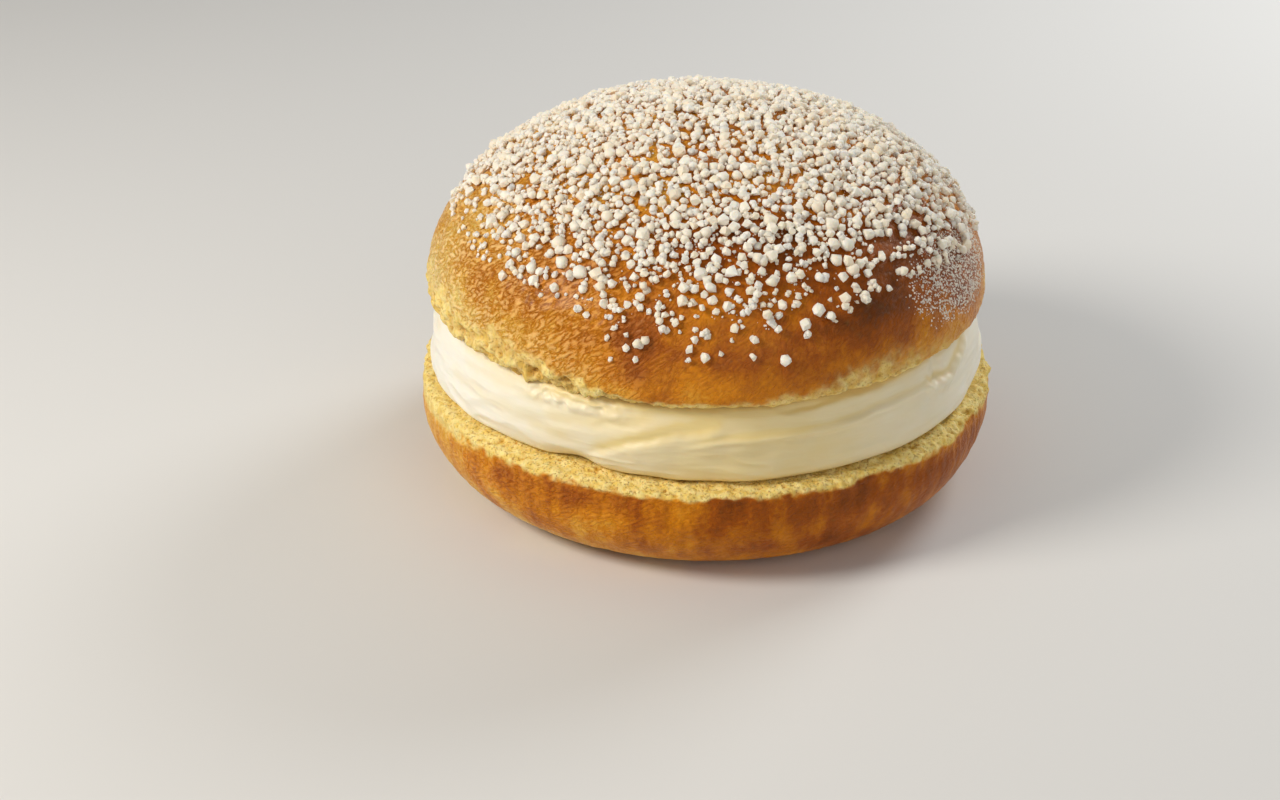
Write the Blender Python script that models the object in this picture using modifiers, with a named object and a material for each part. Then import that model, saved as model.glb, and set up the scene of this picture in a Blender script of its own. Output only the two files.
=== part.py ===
"""Tarte tropezienne for one person: a brioche bun sliced across, filled with whipped
custard cream and strewn with pearl sugar.

The bun stands on its flat underside at z = 0, centred on the origin, +Z up. A bearing is
counted from the front (-Y) towards the right (+X); a climb is counted from the dome's
widest level up to its crown.
"""

import math
import random

import bmesh
import bpy
from mathutils import Matrix, Vector, noise

MM = 0.001

# Driving dimensions, in metres.
BUN_RADIUS = 52.4 * MM  # the base at its belly
BASE_HEIGHT = 18.8 * MM  # table to the base's cut face
CREAM_THICKNESS = 13.8 * MM  # between the two cut faces
TOP_RADIUS = 50.3 * MM  # the domed top at its widest
TOTAL_HEIGHT = 66.3 * MM  # table to the crown, without the sugar
FIT_GAP = 0.3 * MM  # between one layer and the next

# The base: a flat foot, a round belly and a crumbly rim round the cut face.
FOOT_RADIUS = 38.5 * MM
BELLY_LEVEL = 13.5 * MM
RIM_RADIUS = BUN_RADIUS - 0.2 * MM
RIM_ROUND = 1.1 * MM
RIM_DROP = 0.4 * MM  # how far the cut face falls towards the rim
BASE_FLAT_RADIUS = 46.5 * MM  # the level part, under the cream

# The cream: a disc that bulges out between the layers.
CREAM_RADIUS = 49.8 * MM  # where it stands out furthest
CREAM_FOOT_RADIUS = 47.3 * MM  # on the base
CREAM_SHOULDER_RADIUS = 46.8 * MM  # under the top
CREAM_BELLY_SHARE = 0.40  # the height where it stands out furthest
CREAM_FULLNESS = 2.3  # 2 is an ellipse, more is boxier
CREAM_BOTTOM = BASE_HEIGHT + FIT_GAP
CREAM_TOP = BASE_HEIGHT + CREAM_THICKNESS - FIT_GAP

# The domed top: a cut face, a lip that curls in to it, and half an ellipsoid.
CUT_LEVEL = BASE_HEIGHT + CREAM_THICKNESS
CUT_FLAT_RADIUS = 46.9 * MM  # the level part of the cut face, over the cream
LIP_RADIUS = 48.2 * MM
WIDEST_LEVEL = CUT_LEVEL + 2.7 * MM
DOME_HEIGHT = TOTAL_HEIGHT - WIDEST_LEVEL

# Unevenness of a hand-shaped, baked bun: how far it strays, and over what length.
OUT_OF_ROUND = 0.25 * MM
ROUND_WAVES = ((2, 1.0, 0.6), (3, 0.6, -1.1))  # waves round the bun, share and phase
BUN_LUMP = 0.40 * MM
BUN_LUMP_LENGTH = 19.0 * MM
LIP_TEAR = 0.60 * MM
LIP_TEAR_LENGTH = 6.5 * MM
CRUMB_BUMP = 0.30 * MM
CRUMB_BUMP_LENGTH = 3.2 * MM
CREAM_LUMP = 0.50 * MM
CREAM_LUMP_LENGTH = 12.0 * MM
STILL_RADIUS = 44.0 * MM  # inside it the layers' faces stay as turned
BASE_SEED, CRUMB_SEED, CREAM_SEED, TOP_SEED, TEAR_SEED = 3.1, 8.4, 5.7, 6.2, 1.3

# Faces round the bun, and along each outline.
BUN_SIDES = 72
CREAM_SIDES = 96
BELLY_STEPS = 7
RIM_STEPS = 3
DOME_STEPS = 15
LIP_STEPS = 3
CREAM_STEPS = 12

# Strokes of the spatula round the cream's side. Each runs from one bearing to another,
# in degrees, between two heights as shares of the cream's thickness. The cream below the
# line stands proud of the cream above it by the lift, and falls back over the reach.
SPATULA_STROKES = (
    {"from": -26, "to": 5, "start": 0.16, "end": 0.72, "lift": 0.9 * MM, "reach": 0.50},
    {"from": -4, "to": 62, "start": 0.58, "end": 0.62, "lift": 0.8 * MM, "reach": 0.45},
    {"from": 18, "to": 80, "start": 0.88, "end": 0.84, "lift": 0.8 * MM, "reach": 0.26},
    {"from": -60, "to": -8, "start": 0.34, "end": 0.50, "lift": 0.5 * MM, "reach": 0.36},
    {"from": 74, "to": 152, "start": 0.28, "end": 0.70, "lift": 0.9 * MM, "reach": 0.42},
    {"from": 130, "to": 206, "start": 0.86, "end": 0.44, "lift": 0.8 * MM, "reach": 0.34},
    {"from": 188, "to": 258, "start": 0.36, "end": 0.74, "lift": 0.9 * MM, "reach": 0.45},
    {"from": 248, "to": 292, "start": 0.84, "end": 0.66, "lift": 0.6 * MM, "reach": 0.30},
)
STROKE_EDGE = 0.05  # half the height over which a stroke's line steps out, as a share
STROKE_ENDS = 0.2  # share of a stroke's length over which it comes and goes
CREAM_NOTCH = {"bearing": -27.0, "half_width": 8.0, "depth": 2.0 * MM, "top": 0.30}

# Pearl sugar: the climb in degrees, by bearing, below which there are no pearls.
SUGAR_EDGE = {-180: 18, -90: 24, -45: 24, -20: 14, 0: 10, 35: 18, 60: 20, 90: 13, 180: 18}
SUGAR_FULL_CLIMB = 34.0  # degrees above the edge, where the sugar is at its thickest
SUGAR_EDGE_SHARE = 0.30  # of the full cover, at the edge
PEARL_COUNT = 172
PEARL_TRIES = 300
PEARL_RADIUS = (1.00 * MM, 1.42 * MM)
PEARL_STAND = 0.28  # height of a pearl's centre above the crust, in radii
PEARL_SPACING = 1.35  # least distance between two pearls, in sums of their radii
PEARL_WANDER = (2.0, 1.5)  # degrees of bearing and of climb off the even pattern
PEARL_SQUASH = (0.78, 1.12)
PEARL_ROUGHNESS = 0.16
SUGAR_SEED = 7

BASE_CRUST = (0.45, 0.17, 0.030)
TOP_CRUST = (0.50, 0.19, 0.035)
CREAM = (0.86, 0.78, 0.58)


def clear_scene():
    for obj in list(bpy.data.objects):
        bpy.data.objects.remove(obj)


def new_collection(name):
    collection = bpy.data.collections.new(name)
    bpy.context.scene.collection.children.link(collection)
    return collection


def finish_material(name, colour, roughness):
    material = bpy.data.materials.new(name)
    material.use_nodes = True
    shader = material.node_tree.nodes["Principled BSDF"]
    shader.inputs["Base Color"].default_value = (*colour, 1)
    shader.inputs["Roughness"].default_value = roughness
    shader.inputs["Metallic"].default_value = 0
    return material


def applied(obj):
    """Gives the object the mesh that its modifiers make, and drops the modifiers."""
    graph = bpy.context.evaluated_depsgraph_get()
    made = bpy.data.meshes.new_from_object(obj.evaluated_get(graph))
    made.name = obj.name
    obj.modifiers.clear()
    obj.data = made
    return obj


def turned(name, outline, sides, collection):
    """A solid of revolution. The outline is (radius, height) pairs, from the top's
    centre, down the outer side, to the bottom's centre."""
    mesh = bpy.data.meshes.new(name)
    points = [(radius, 0, height) for radius, height in outline]
    mesh.from_pydata(points, [(i, i + 1) for i in range(len(points) - 1)], [])
    obj = bpy.data.objects.new(name, mesh)
    collection.objects.link(obj)
    screw = obj.modifiers.new("turn", "SCREW")
    screw.axis = "Z"
    screw.steps = sides
    screw.render_steps = sides
    screw.use_merge_vertices = True
    screw.merge_threshold = 0.00001
    return applied(obj)


def dressed(obj, material, sharp_degrees=40):
    obj.data.materials.clear()
    obj.data.materials.append(material)
    obj.data.shade_smooth()
    obj.data.set_sharp_from_angle(angle=math.radians(sharp_degrees))
    return obj


def shares(count):
    return [i / count for i in range(count + 1)]


def mix(a, b, share):
    return a + (b - a) * share


def smooth_share(value, low, high):
    """0 below low, 1 above high, and an even S between them."""
    share = min(1.0, max(0.0, (value - low) / (high - low)))
    return share * share * (3 - 2 * share)


def bearing_of(point):
    """Degrees from the front (-Y) towards the right (+X)."""
    return math.degrees(math.atan2(point.x, -point.y))


def turned_by(start, bearing):
    """How far the bearing lies past the start, going to the right, from 0 to 360."""
    return (bearing - start) % 360


def by_bearing(values, bearing):
    """A value given at some bearings, eased from one to the next."""
    keys = sorted(values)
    for left, right in zip(keys, keys[1:]):
        if left <= bearing <= right:
            share = smooth_share(bearing, left, right)
            return mix(values[left], values[right], share)
    return values[keys[0]]


def lump(point, length, seed):
    """Soft noise from about -1 to 1 over the given length."""
    return noise.noise(point / length + Vector((seed, -seed, 2 * seed)))


def out_of_round(bearing):
    angle = math.radians(bearing)
    waves = [share * math.cos(count * angle + phase) for count, share, phase in ROUND_WAVES]
    return OUT_OF_ROUND * sum(waves)


def pushed_out(point, distance):
    """The point moved away from the upright axis."""
    flat = Vector((point.x, point.y, 0))
    if flat.length < MM:
        return point
    return point + flat.normalized() * distance


def base_outline():
    rim_level = BASE_HEIGHT - RIM_DROP
    outline = [(0, BASE_HEIGHT), (BASE_FLAT_RADIUS, BASE_HEIGHT)]
    outline += [(mix(BASE_FLAT_RADIUS, RIM_RADIUS, 0.5), mix(BASE_HEIGHT, rim_level, 0.4))]
    for share in shares(RIM_STEPS):
        angle = share * math.pi / 2
        radius = RIM_RADIUS - RIM_ROUND + RIM_ROUND * math.sin(angle)
        outline.append((radius, rim_level - RIM_ROUND + RIM_ROUND * math.cos(angle)))
    for share in shares(BELLY_STEPS):
        angle = (1 - share) * math.pi / 2
        radius = mix(FOOT_RADIUS, BUN_RADIUS, math.sin(angle))
        outline.append((radius, BELLY_LEVEL * (1 - math.cos(angle))))
    outline += [(0, 0)]
    return outline


def shape_base(mesh):
    """Swells the sides unevenly and roughens the crumb outside the cream. The foot and
    the part of the cut face under the cream stay flat."""
    for vertex in mesh.vertices:
        point = vertex.co.copy()
        bearing = bearing_of(point)
        radius = Vector((point.x, point.y)).length
        side = smooth_share(radius, FOOT_RADIUS, BUN_RADIUS)
        swell = out_of_round(bearing) + BUN_LUMP * lump(point, BUN_LUMP_LENGTH, BASE_SEED)
        moved = pushed_out(point, side * swell)
        if point.z > BELLY_LEVEL:
            bare = smooth_share(radius, CREAM_FOOT_RADIUS, RIM_RADIUS)
            moved.z += bare * CRUMB_BUMP * lump(point, CRUMB_BUMP_LENGTH, CRUMB_SEED)
        vertex.co = moved


def cream_radius(share):
    """The cream's radius at a height, as a share of its thickness: a rounded quarter
    below its belly and another above it."""
    if share < CREAM_BELLY_SHARE:
        away = 1 - share / CREAM_BELLY_SHARE
        inner = CREAM_FOOT_RADIUS
    else:
        away = (share - CREAM_BELLY_SHARE) / (1 - CREAM_BELLY_SHARE)
        inner = CREAM_SHOULDER_RADIUS
    return mix(inner, CREAM_RADIUS, (1 - away**CREAM_FULLNESS) ** (1 / CREAM_FULLNESS))


def cream_outline():
    outline = [(0, CREAM_TOP)]
    for share in shares(CREAM_STEPS):
        # Closer steps near the two faces, where the bulge turns fastest.
        height = 0.5 + 0.5 * math.cos(math.pi * share)
        outline.append((cream_radius(height), mix(CREAM_BOTTOM, CREAM_TOP, height)))
    outline += [(0, CREAM_BOTTOM)]
    return outline


def stroke_lift(bearing, height):
    """How far the spatula's strokes stand out at a bearing and a height share."""
    total = 0.0
    for stroke in SPATULA_STROKES:
        along = turned_by(stroke["from"], bearing) / (stroke["to"] - stroke["from"])
        if along > 1:
            continue
        below = mix(stroke["start"], stroke["end"], along) - height
        ends = smooth_share(min(along, 1 - along), 0, STROKE_ENDS)
        step = smooth_share(below, -STROKE_EDGE, STROKE_EDGE)
        fall = 1 - smooth_share(below, STROKE_EDGE, stroke["reach"])
        total += stroke["lift"] * ends * step * fall
    return total


def cream_notch(bearing, height):
    away = abs(turned_by(CREAM_NOTCH["bearing"] - 180, bearing) - 180)
    hollow = 1 - smooth_share(away, 0, CREAM_NOTCH["half_width"])
    return CREAM_NOTCH["depth"] * hollow * (1 - smooth_share(height, 0, CREAM_NOTCH["top"]))


def shape_cream(mesh):
    for vertex in mesh.vertices:
        point = vertex.co.copy()
        radius = Vector((point.x, point.y)).length
        side = smooth_share(radius, STILL_RADIUS, CREAM_SHOULDER_RADIUS)
        bearing = bearing_of(point)
        height = (point.z - CREAM_BOTTOM) / (CREAM_TOP - CREAM_BOTTOM)
        swell = out_of_round(bearing) + CREAM_LUMP * lump(point, CREAM_LUMP_LENGTH, CREAM_SEED)
        swell += math.sin(math.pi * height) * stroke_lift(bearing, height)
        swell -= cream_notch(bearing, height)
        vertex.co = pushed_out(point, side * swell)


def dome_outline():
    outline = [(0, TOTAL_HEIGHT)]
    for share in shares(DOME_STEPS)[1:]:
        climb = (1 - share) * math.pi / 2
        height = WIDEST_LEVEL + DOME_HEIGHT * math.sin(climb)
        outline.append((TOP_RADIUS * math.cos(climb), height))
    for share in shares(LIP_STEPS)[1:]:
        angle = share * math.pi / 2
        radius = mix(LIP_RADIUS, TOP_RADIUS, math.cos(angle))
        outline.append((radius, mix(WIDEST_LEVEL, CUT_LEVEL, math.sin(angle))))
    outline += [(CUT_FLAT_RADIUS, CUT_LEVEL), (0, CUT_LEVEL)]
    return outline


def dome_moved(point):
    """A point of the dome after the bun's unevenness and the torn lip."""
    radius = Vector((point.x, point.y)).length
    edge = smooth_share(radius, STILL_RADIUS, LIP_RADIUS)
    moved = pushed_out(point, edge * out_of_round(bearing_of(point)))
    crust = smooth_share(point.z, CUT_LEVEL, WIDEST_LEVEL)
    outward = (point - Vector((0, 0, WIDEST_LEVEL))).normalized()
    moved += outward * crust * BUN_LUMP * lump(point, BUN_LUMP_LENGTH, TOP_SEED)
    lip = smooth_share(radius, CUT_FLAT_RADIUS, LIP_RADIUS) * (1 - crust)
    torn = lip * LIP_TEAR * lump(Vector((point.x, point.y, 0)), LIP_TEAR_LENGTH, TEAR_SEED)
    moved.z += torn
    return pushed_out(moved, torn)


def shape_dome(mesh):
    for vertex in mesh.vertices:
        vertex.co = dome_moved(vertex.co.copy())


def dome_point(bearing, climb):
    """A point on the smooth dome, and the way that its crust faces."""
    angle, up = math.radians(bearing), math.radians(climb)
    flat = Vector((math.sin(angle), -math.cos(angle), 0))
    point = flat * TOP_RADIUS * math.cos(up)
    point.z = WIDEST_LEVEL + DOME_HEIGHT * math.sin(up)
    normal = flat * math.cos(up) / TOP_RADIUS
    normal.z = math.sin(up) / DOME_HEIGHT
    return point, normal.normalized()


def sugar_cover(bearing, climb):
    """How thickly the sugar lies, from 0 to 1."""
    above = climb - by_bearing(SUGAR_EDGE, bearing)
    if above < 0:
        return 0.0
    return mix(SUGAR_EDGE_SHARE, 1.0, smooth_share(above, 0, SUGAR_FULL_CLIMB))


def pearl_places(draw):
    """Pearls, the largest first: centre, facing and radius. They are spread along a
    golden spiral from the crown, thinned out where the sugar lies thinly, and kept
    clear of each other."""
    places = []
    golden_turn = 180 * (3 - math.sqrt(5))
    turn_wander, climb_wander = PEARL_WANDER
    for number in range(PEARL_TRIES):
        sine = 1 - (number + 0.5) / PEARL_TRIES
        climb = math.degrees(math.asin(sine)) + draw.uniform(-climb_wander, climb_wander)
        turn = number * golden_turn + draw.uniform(-turn_wander, turn_wander)
        bearing = turned_by(-180, turn) - 180
        size = draw.random()
        if draw.random() < sugar_cover(bearing, climb):
            point, normal = dome_point(bearing, min(climb, 90))
            places.append((size, dome_moved(point), normal))
    places.sort(key=lambda place: -place[0])
    kept = []
    for size, point, normal in places[:PEARL_COUNT]:
        radius = mix(*PEARL_RADIUS, size)
        near = PEARL_SPACING * radius
        if all((point - other).length > near + PEARL_SPACING * reach
               for other, _, reach in kept):
            kept.append((point, normal, radius))
    return kept


def sugar_pearl(name, point, normal, radius, draw, collection):
    """One nugget of sugar: a low icosphere with its corners knocked about."""
    mesh = bpy.data.meshes.new(name)
    shape = bmesh.new()
    bmesh.ops.create_icosphere(shape, subdivisions=1, radius=radius)
    for vertex in shape.verts:
        vertex.co *= 1 + draw.uniform(-PEARL_ROUGHNESS, PEARL_ROUGHNESS)
    squash = [draw.uniform(*PEARL_SQUASH) for _ in range(3)]
    turn = Matrix.Rotation(draw.uniform(0, 2 * math.pi), 4, "Z")
    tip = Matrix.Rotation(draw.uniform(0, math.pi), 4, "X")
    stand = normal.to_track_quat("Z", "Y").to_matrix().to_4x4()
    place = Matrix.Translation(point + normal * radius * PEARL_STAND)
    bmesh.ops.transform(
        shape,
        matrix=place @ stand @ turn @ Matrix.Diagonal((*squash, 1)) @ tip,
        verts=shape.verts,
    )
    shape.to_mesh(mesh)
    shape.free()
    obj = bpy.data.objects.new(name, mesh)
    obj.hide_render = True
    obj.display_type = "WIRE"
    collection.objects.link(obj)


def fuse(obj, collection):
    """Joins everything in the collection to the object, and clears the collection."""
    union = obj.modifiers.new("fuse", "BOOLEAN")
    union.operation = "UNION"
    union.operand_type = "COLLECTION"
    union.collection = collection
    applied(obj)
    for piece in list(collection.objects):
        bpy.data.objects.remove(piece)
    bpy.data.collections.remove(collection)


def make_base(collection):
    base = turned("brioche_base", base_outline(), BUN_SIDES, collection)
    shape_base(base.data)
    dressed(base, finish_material("base_crust", BASE_CRUST, 0.55))


def make_cream(collection):
    cream = turned("cream_filling", cream_outline(), CREAM_SIDES, collection)
    shape_cream(cream.data)
    dressed(cream, finish_material("cream", CREAM, 0.35))


def make_top(collection):
    top = turned("brioche_top", dome_outline(), BUN_SIDES, collection)
    shape_dome(top.data)
    draw = random.Random(SUGAR_SEED)
    pearls = new_collection("pearl_sugar")
    for number, (point, normal, radius) in enumerate(pearl_places(draw)):
        sugar_pearl(f"pearl_{number:03d}", point, normal, radius, draw, pearls)
    fuse(top, pearls)
    dressed(top, finish_material("top_crust", TOP_CRUST, 0.5))


def main():
    clear_scene()
    tart = new_collection("tarte_tropezienne")
    make_base(tart)
    make_cream(tart)
    make_top(tart)


main()
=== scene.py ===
import math

import bmesh
import bpy
import numpy as np
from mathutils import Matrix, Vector


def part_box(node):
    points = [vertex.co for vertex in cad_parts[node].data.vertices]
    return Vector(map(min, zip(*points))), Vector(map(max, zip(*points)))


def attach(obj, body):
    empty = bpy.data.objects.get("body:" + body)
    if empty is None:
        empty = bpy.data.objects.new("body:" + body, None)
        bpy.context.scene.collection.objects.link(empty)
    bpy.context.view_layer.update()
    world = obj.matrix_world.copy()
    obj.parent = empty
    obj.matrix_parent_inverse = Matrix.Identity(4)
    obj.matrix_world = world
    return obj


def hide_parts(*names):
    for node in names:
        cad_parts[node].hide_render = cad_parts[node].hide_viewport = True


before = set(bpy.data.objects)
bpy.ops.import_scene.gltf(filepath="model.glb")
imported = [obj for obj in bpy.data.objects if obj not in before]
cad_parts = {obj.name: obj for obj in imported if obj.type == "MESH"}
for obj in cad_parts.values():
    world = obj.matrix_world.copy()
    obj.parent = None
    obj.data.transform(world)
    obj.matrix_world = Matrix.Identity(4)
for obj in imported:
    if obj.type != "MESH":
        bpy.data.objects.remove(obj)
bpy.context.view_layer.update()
mm = 0.001


# Numbers that many pieces share

def mixed(a, b, share):
    return a + (b - a) * share


def eased(value, low, high):
    share = np.clip((value - low) / (high - low), 0.0, 1.0)
    return share * share * (3.0 - 2.0 * share)


def aroundFrom(start, bearing):
    return np.mod(bearing - start, 360.0)


def byBearing(values, bearing):
    # a value given at some bearings in degrees, carried smoothly from one to the next
    keys = np.array(sorted(values), float)
    levels = np.array([values[key] for key in sorted(values)], float)
    slopes = np.gradient(levels, keys)
    left = np.clip(np.searchsorted(keys, bearing, side="right") - 1, 0, len(keys) - 2)
    gap = keys[left + 1] - keys[left]
    share = np.clip((bearing - keys[left]) / gap, 0.0, 1.0)
    turn = gap * share * (1 - share)
    bend = turn * ((1 - share) * slopes[left] - share * slopes[left + 1])
    return mixed(levels[left], levels[left + 1], eased(share, 0, 1)) + bend


def bearingOf(points):
    # degrees from the front (-Y) towards the right (+X)
    return np.degrees(np.arctan2(points[:, 0], -points[:, 1]))


def hashed(cells, seed):
    # an even random number from 0 to 1 for each whole-numbered cell
    mixedUp = cells[..., 0] * 73856093 ^ cells[..., 1] * 19349663 ^ cells[..., 2] * 83492791
    mixedUp = (mixedUp ^ (seed * 2654435)) & 0x7FFFFFFF
    for _ in range(2):
        mixedUp = ((mixedUp >> 13) ^ mixedUp) * 1274126177 & 0x7FFFFFFF
    return ((mixedUp >> 7) & 0xFFFF) / 65535.0


def cloud(points, length, seed):
    # soft noise from about -1 to 1, its lumps as long as length
    scaled = points / length
    corner = np.floor(scaled).astype(np.int64)
    inside = scaled - corner
    fade = inside ** 3 * (inside * (inside * 6.0 - 15.0) + 10.0)
    total = np.zeros(len(points))
    for step in np.ndindex(2, 2, 2):
        cell = corner + np.array(step)
        slope = np.stack([hashed(cell, seed + k) * 2.0 - 1.0 for k in range(3)], -1)
        value = (slope * (inside - step)).sum(-1)
        weight = np.where(step, fade, 1.0 - fade).prod(-1)
        total += value * weight
    return total * 1.6


def layered(points, layers):
    # clouds laid over each other, each given as its share, its length in mm and its seed
    return sum(share * cloud(points, length * mm, seed) for share, length, seed in layers)


def crackled(points, pattern):
    # sharp ridges from 0 to 1 between soft hollows; a pattern names its length and its seed
    return 1.0 - np.abs(cloud(points, pattern["length"], pattern["seed"])) * 2.0


def nearestCell(points, pattern):
    # distance to the nearest of loosely scattered spots, in lengths
    scaled = points / pattern["length"]
    corner = np.floor(scaled).astype(np.int64)
    nearest = np.full(len(points), 9.0)
    for step in np.ndindex(3, 3, 3):
        cell = corner + np.array(step) - 1
        spot = cell + np.stack([hashed(cell, pattern["seed"] + k) for k in range(3)], -1)
        nearest = np.minimum(nearest, np.linalg.norm(scaled - spot, axis=1))
    return nearest


def holesIn(points, pattern):
    # round holes, 1 at their middles
    return 1.0 - eased(nearestCell(points, pattern), 0.15, 0.5)


def lumpy(points, pattern):
    # rounded lumps, 1 at their middles and 0 in the creases between them
    return 1.0 - eased(nearestCell(points, pattern), 0.1, 0.8)


def pushedOut(points, distance):
    flat = points * (1.0, 1.0, 0.0)
    radius = np.linalg.norm(flat, axis=1, keepdims=True)
    return points + flat / np.maximum(radius, mm) * distance[:, None]


# Turned surfaces: an outline from the top's centre, down the outer side, to the bottom's
# centre, turned round the upright axis into rings of points

def evenOutline(corners, spacings):
    # points along the outline, spaced as the stretch they lie in asks
    points = [corners[0]]
    for start, end, spacing in zip(corners, corners[1:], spacings):
        start, end = np.array(start), np.array(end)
        count = max(1, round(np.linalg.norm(end - start) / spacing))
        points += [tuple(mixed(start, end, k / count)) for k in range(1, count + 1)]
    return np.array(points)


def turnedPoints(outline, sides):
    # every ring's points, its bearing, how far it lies along the outline, and its facing
    rings = outline[1:-1]
    along = np.concatenate([[0], np.cumsum(np.linalg.norm(np.diff(outline, axis=0), axis=1))])
    heading = np.gradient(outline, axis=0)[1:-1]
    heading /= np.linalg.norm(heading, axis=1, keepdims=True)
    angles = np.arange(sides) / sides * 2.0 * math.pi
    around = np.stack([np.sin(angles), -np.cos(angles)], -1)
    flat = np.einsum("r,sc->rsc", rings[:, 0], around)
    tall = np.repeat(rings[:, 1], sides).reshape(len(rings), sides, 1)
    points = np.concatenate([flat, tall], -1).reshape(-1, 3)
    facing = np.concatenate([
        np.einsum("r,sc->rsc", -heading[:, 1], around),
        np.repeat(heading[:, 0], sides).reshape(len(rings), sides, 1)], -1).reshape(-1, 3)
    return points, facing, np.repeat(along[1:-1], sides)


def ringFaces(ringCount, sides):
    first = np.arange(ringCount - 1)[:, None] * sides
    here = np.arange(sides)[None, :]
    onward = (here + 1) % sides
    quads = np.stack([first + here, first + sides + here, first + sides + onward, first + onward], -1)
    return quads.reshape(-1, 4)


def finishPiece(name, mesh, material, nodes, smooth=True):
    mesh.polygons.foreach_set("use_smooth", np.full(len(mesh.polygons), smooth))
    mesh.materials.append(material)
    piece = bpy.data.objects.new(name, mesh)
    bpy.context.scene.collection.objects.link(piece)
    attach(piece, "root")
    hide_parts(*nodes)
    mesh.calc_loop_triangles()
    print(name, len(mesh.loop_triangles), "triangles")


def lathedMesh(name, points, sides, ends, masks):
    # closed mesh of the rings, with a middle point at the top and the bottom
    ringCount = len(points) // sides
    quads = ringFaces(ringCount, sides)
    here = np.arange(sides)
    onward = (here + 1) % sides
    last = (ringCount - 1) * sides
    topPoint, bottomPoint = len(points), len(points) + 1
    faces = quads.tolist()
    faces += [(topPoint, a, b) for a, b in zip(here.tolist(), onward.tolist())]
    faces += [(bottomPoint, last + b, last + a) for a, b in zip(here.tolist(), onward.tolist())]
    corners = np.concatenate([points, np.array([(0, 0, ends[0]), (0, 0, ends[1])])])
    mesh = bpy.data.meshes.new(name)
    mesh.from_pydata(corners.tolist(), [], faces)
    for mask, values in masks.items():
        kind = "FLOAT_VECTOR" if values.ndim == 2 else "FLOAT"
        attribute = mesh.attributes.new(mask, kind, "POINT")
        padded = np.concatenate([values, values[:1], values[-1:]])
        attribute.data.foreach_set("vector" if values.ndim == 2 else "value", padded.ravel())
    return mesh


# Shader maths: a wrapped socket takes the usual operators

class Wire:
    def __init__(self, tree, socket):
        self.tree = tree
        self.socket = socket

    def maths(self, operation, first, second):
        return self.tree.node("Math", {"operation": operation}, {0: first, 1: second})

    def __add__(self, other):
        return self.maths("ADD", self, other)

    def __radd__(self, other):
        return self.maths("ADD", other, self)

    def __sub__(self, other):
        return self.maths("SUBTRACT", self, other)

    def __rsub__(self, other):
        return self.maths("SUBTRACT", other, self)

    def __mul__(self, other):
        return self.maths("MULTIPLY", self, other)

    def __rmul__(self, other):
        return self.maths("MULTIPLY", other, self)


class Finish:
    def __init__(self, name):
        self.material = bpy.data.materials.new(name)
        self.material.use_nodes = True
        self.nodes = self.material.node_tree.nodes
        self.links = self.material.node_tree.links
        self.shader = self.nodes["Principled BSDF"]
        self.place = self.node("TexCoord", output="Object")

    def node(self, kind, settings=None, sockets=None, output=0):
        made = self.nodes.new("ShaderNode" + kind)
        for setting, value in (settings or {}).items():
            if setting == "stops":
                self.setStops(made.color_ramp, value)
            else:
                setattr(made, setting, value)
        for socket, value in (sockets or {}).items():
            self.plug(made.inputs[socket], value)
        return Wire(self, made.outputs[output])

    def setStops(self, ramp, stops):
        while len(ramp.elements) < len(stops):
            ramp.elements.new(0.5)
        for element, (position, colour) in zip(ramp.elements, stops):
            element.position = position
            element.color = (*colour, 1.0)

    def plug(self, socket, value):
        if isinstance(value, Wire):
            self.links.new(value.socket, socket)
        else:
            socket.default_value = value

    def mask(self, name):
        return self.node("Attribute", {"attribute_name": name}, output="Fac")

    def track(self, name):
        return self.node("Attribute", {"attribute_name": name}, output="Vector")

    def noise(self, length, detail=3.0, roughness=0.55, where=None):
        return self.node("TexNoise", sockets={
            "Vector": where or self.place, "Scale": 1.0 / length, "Detail": detail,
            "Roughness": roughness})

    def ridges(self, length, where):
        # sharp wandering crests, from about 0 to 1
        return self.node("TexNoise", {"noise_type": "RIDGED_MULTIFRACTAL"}, {
            "Vector": where, "Scale": 1.0 / length, "Detail": 5.0, "Roughness": 0.7,
            "Lacunarity": 2.3, "Offset": 0.9, "Gain": 1.6}) * 0.45

    def stretched(self, where, amounts):
        return self.node("Mapping", sockets={"Vector": where, "Scale": amounts})

    def step(self, value, low, high):
        return self.node("MapRange", {"interpolation_type": "SMOOTHSTEP"}, {
            "Value": value, "From Min": low, "From Max": high})

    def blend(self, share, first, second):
        return self.node("Mix", {"data_type": "RGBA"}, {0: share, 6: rgba(first), 7: rgba(second)}, 2)

    def ramp(self, value, stops):
        return self.node("ValToRGB", {"stops": stops}, {"Fac": value})

    def bump(self, height, distance):
        return self.node("Bump", sockets={"Height": height, "Distance": distance})

    def set(self, **values):
        names = {"colour": "Base Color", "roughness": "Roughness", "normal": "Normal",
                 "coat": "Coat Weight", "coatRoughness": "Coat Roughness",
                 "glow": "Subsurface Weight", "glowReach": "Subsurface Radius",
                 "glowScale": "Subsurface Scale", "specular": "Specular IOR Level",
                 "specularTint": "Specular Tint"}
        for name, value in values.items():
            isColour = name in ("colour", "specularTint")
            self.plug(self.shader.inputs[names[name]], rgba(value) if isColour else value)


def rgba(value):
    return value if isinstance(value, Wire) or len(value) == 4 else (*value, 1.0)


def srgb(red, green, blue):
    # a colour as picked on screen, 0 to 255, turned into light
    shares = [channel / 255.0 for channel in (red, green, blue)]
    return tuple(c / 12.92 if c <= 0.04045 else ((c + 0.055) / 1.055) ** 2.4 for c in shares)


# Sizes of the layers, from the solids

baseLow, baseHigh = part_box("brioche_base")
creamLow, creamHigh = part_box("cream_filling")
topLow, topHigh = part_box("brioche_top")
fitGap = creamLow.z - baseHigh.z
cutLevel = creamHigh.z + fitGap

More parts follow.
